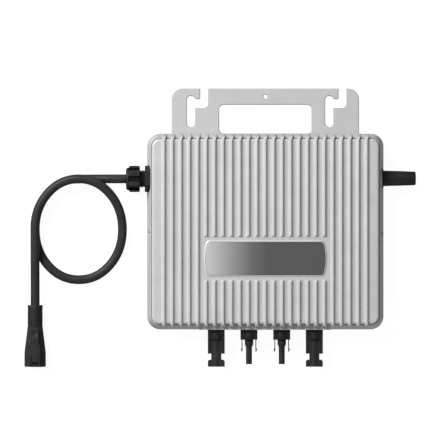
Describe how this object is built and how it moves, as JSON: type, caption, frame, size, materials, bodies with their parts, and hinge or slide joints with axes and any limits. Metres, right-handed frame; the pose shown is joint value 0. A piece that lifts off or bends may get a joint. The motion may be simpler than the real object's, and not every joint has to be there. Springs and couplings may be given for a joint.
{
  "type": "micro inverter",
  "caption": "Flat finned metal micro inverter with a slotted hanger plate, round-nosed input connectors, a stub antenna and a looped output cable with its plug.",
  "frame": {"origin": "centre of the casing's flat back face, which the part lies on", "axes": "+Z out of the finned front face, +Y towards the hanger plate, +X towards the antenna"},
  "size_m": [0.3917, 0.279, 0.033],
  "materials": {
    "casing_metal": "cast and powder coated, satin silver grey",
    "sheet_metal": "satin sheet metal",
    "badge_metal": "brushed, silver fading to dark grey",
    "steel": "stainless",
    "black_plastic": "moulded nylon, fine grain",
    "antenna_plastic": "moulded, satin",
    "carrier_plastic": "moulded",
    "cable_jacket": "extruded jacket, satin",
    "rubber": "matte seal rubber",
    "contact_metal": "tin plated copper alloy",
    "gold_metal": "gold plated brass",
    "adhesive": "clear adhesive film",
    "core_insulation": "insulated conductor",
    "board_laminate": "glass-epoxy board with green mask",
    "ferrite": "sintered ferrite",
    "copper_winding": "enamelled copper wire",
    "capacitor_sleeve": "shrink sleeve",
    "film_case": "epoxy filled case",
    "relay_case": "moulded case",
    "chip_case": "moulded epoxy package",
    "shield_can": "tinned shield",
    "thermal_gel": "filled silicone pad"
  },
  "bodies": {
    "casing": {"housing": "casing_metal", "back_plate": "sheet_metal", "housing_gasket": "rubber", "cover_screws": "steel", "badge": "badge_metal", "badge_adhesive": "adhesive", "gland_body": "black_plastic", "gland_seal": "rubber", "gland_flange_seal": "rubber", "gland_locknut": "steel", "rf_connector": "gold_metal", "rf_nut": "gold_metal", "rf_pigtail": "cable_jacket", "dc_shell_left": "black_plastic", "dc_shell_right": "black_plastic", "dc_nose_left": "black_plastic", "dc_nose_right": "black_plastic", "dc_pin_contacts": "contact_metal", "dc_sleeve_contacts": "contact_metal", "dc_locknuts": "steel", "dc_seals": "rubber", "dc_terminals": "carrier_plastic", "dc_links": "copper_winding", "mains_cable": "cable_jacket", "cable_ends": "cable_jacket", "mains_cores": "core_insulation", "mains_terminals": "carrier_plastic", "plug_shell": "black_plastic", "plug_lever_pin": "steel", "plug_cable_seal": "rubber", "plug_insert": "carrier_plastic", "plug_contacts": "contact_metal", "plug_face_seal": "rubber", "main_board": "board_laminate", "board_screws": "steel", "transformer_cores": "ferrite", "transformer_windings": "copper_winding", "bulk_capacitors": "capacitor_sleeve", "film_capacitors": "film_case", "mains_choke": "ferrite", "choke_windings": "copper_winding", "output_relays": "relay_case", "power_transistors": "chip_case", "radio_module": "shield_can", "control_chips": "chip_case", "thermal_pads": "thermal_gel"},
    "gland_ring": {"gland_clamp_ring": "carrier_plastic"},
    "gland_nut": {"gland_dome_nut": "black_plastic"},
    "antenna_seal_ring": {"antenna_seal": "rubber"},
    "antenna": {"antenna_cover": "antenna_plastic", "antenna_insert": "gold_metal", "antenna_element": "copper_winding"},
    "plug_ring": {"plug_clamp_ring": "carrier_plastic"},
    "plug_nut": {"plug_back_nut": "black_plastic"},
    "plug_latch": {"plug_lever": "black_plastic"},
    "finger_left_left": {"latch_finger_left_left": "black_plastic"},
    "finger_left_right": {"latch_finger_left_right": "black_plastic"},
    "finger_right_left": {"latch_finger_right_left": "black_plastic"},
    "finger_right_right": {"latch_finger_right_right": "black_plastic"}
  },
  "joints": [
    {"name": "gland_ring_slide", "type": "slide", "parent": "casing", "child": "gland_ring", "axis": [-1, 0, 0], "range_m": [0, 0.0048]},
    {"name": "gland_nut_turn", "type": "hinge", "parent": "gland_ring", "child": "gland_nut", "pos_m": [-0.1305, 0.0526, 0.014], "axis": [-1, 0, 0], "range_deg": [0, 1080]},
    {"name": "antenna_seal_slide", "type": "slide", "parent": "casing", "child": "antenna_seal_ring", "axis": [1, 0, 0], "range_m": [0, 0.00212]},
    {"name": "antenna_turn", "type": "hinge", "parent": "antenna_seal_ring", "child": "antenna", "pos_m": [0.13, 0.0531, 0.014], "axis": [1, 0, 0], "range_deg": [0, 1080]},
    {"name": "plug_ring_slide", "type": "slide", "parent": "casing", "child": "plug_ring", "axis": [0, 1, 0], "range_m": [0, 0.0045]},
    {"name": "plug_nut_turn", "type": "hinge", "parent": "plug_ring", "child": "plug_nut", "pos_m": [-0.23045, -0.085, 0.0108], "axis": [0, 1, 0], "range_deg": [0, 1080]},
    {"name": "plug_latch_press", "type": "hinge", "parent": "casing", "child": "plug_latch", "pos_m": [-0.23045, -0.11375, 0.01795], "axis": [-1, 0, 0], "range_deg": [0, 4.5], "stiffness_Nm_per_rad": 0.5},
    {"name": "finger_left_left_press", "type": "hinge", "parent": "casing", "child": "finger_left_left", "pos_m": [-0.0233, -0.10715, 0.014], "axis": [0, 0, 1], "range_deg": [0, 8], "stiffness_Nm_per_rad": 0.4},
    {"name": "finger_left_right_press", "type": "hinge", "parent": "casing", "child": "finger_left_right", "pos_m": [-0.0095, -0.10715, 0.014], "axis": [0, 0, -1], "range_deg": [0, 8], "stiffness_Nm_per_rad": 0.4},
    {"name": "finger_right_left_press", "type": "hinge", "parent": "casing", "child": "finger_right_left", "pos_m": [0.0095, -0.10715, 0.014], "axis": [0, 0, 1], "range_deg": [0, 8], "stiffness_Nm_per_rad": 0.4},
    {"name": "finger_right_right_press", "type": "hinge", "parent": "casing", "child": "finger_right_right", "pos_m": [0.0233, -0.10715, 0.014], "axis": [0, 0, -1], "range_deg": [0, 8], "stiffness_Nm_per_rad": 0.4}
  ],
  "couplings": [
    {"joint": "gland_nut_turn", "follows": "gland_ring_slide", "rad_per_m": 3927},
    {"joint": "antenna_turn", "follows": "antenna_seal_slide", "rad_per_m": 8904.7},
    {"joint": "plug_nut_turn", "follows": "plug_ring_slide", "rad_per_m": 4188.8}
  ]
}
